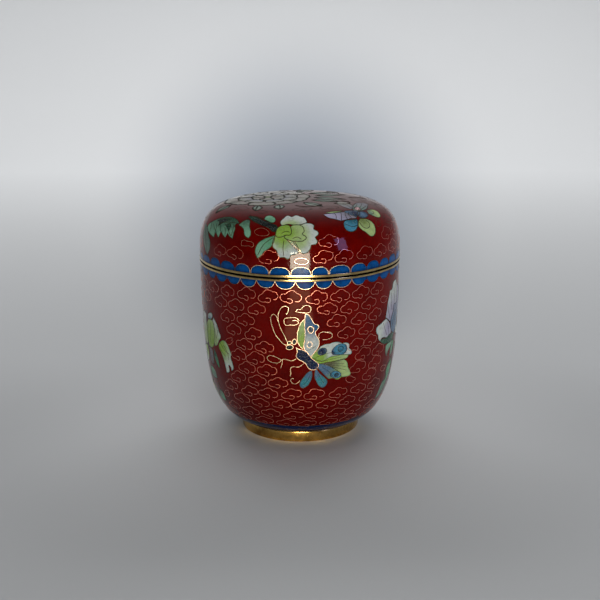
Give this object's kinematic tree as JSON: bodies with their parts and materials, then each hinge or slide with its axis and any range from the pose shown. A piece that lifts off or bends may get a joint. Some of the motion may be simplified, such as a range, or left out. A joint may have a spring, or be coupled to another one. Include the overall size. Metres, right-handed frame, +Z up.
{
  "type": "cloisonne tea caddy",
  "caption": "Round lidded tea caddy of enamelled copper, with a bowl-shaped base on a foot ring and gilt rims where the lid lifts off.",
  "frame": {"origin": "centre of the circle that the foot ring stands on", "axes": "+Z up along the caddy's axis; the side with the butterfly faces -Y"},
  "size_m": [0.076, 0.076, 0.0889],
  "materials": {
    "body_enamel": "polished red vitreous enamel on copper, divided by gilt wires into clouds, with flowers and a butterfly",
    "lid_enamel": "the same enamel, with a peony, leaves and a butterfly over the top and shoulder",
    "rim_gilt": "worn gilding on copper",
    "foot_gilt": "worn gilding on copper"
  },
  "bodies": {
    "root": {"body": "body_enamel", "foot_ring": "foot_gilt", "body_rim": "rim_gilt", "lid_rim": "rim_gilt", "lid": "lid_enamel"}
  },
  "joints": []
}
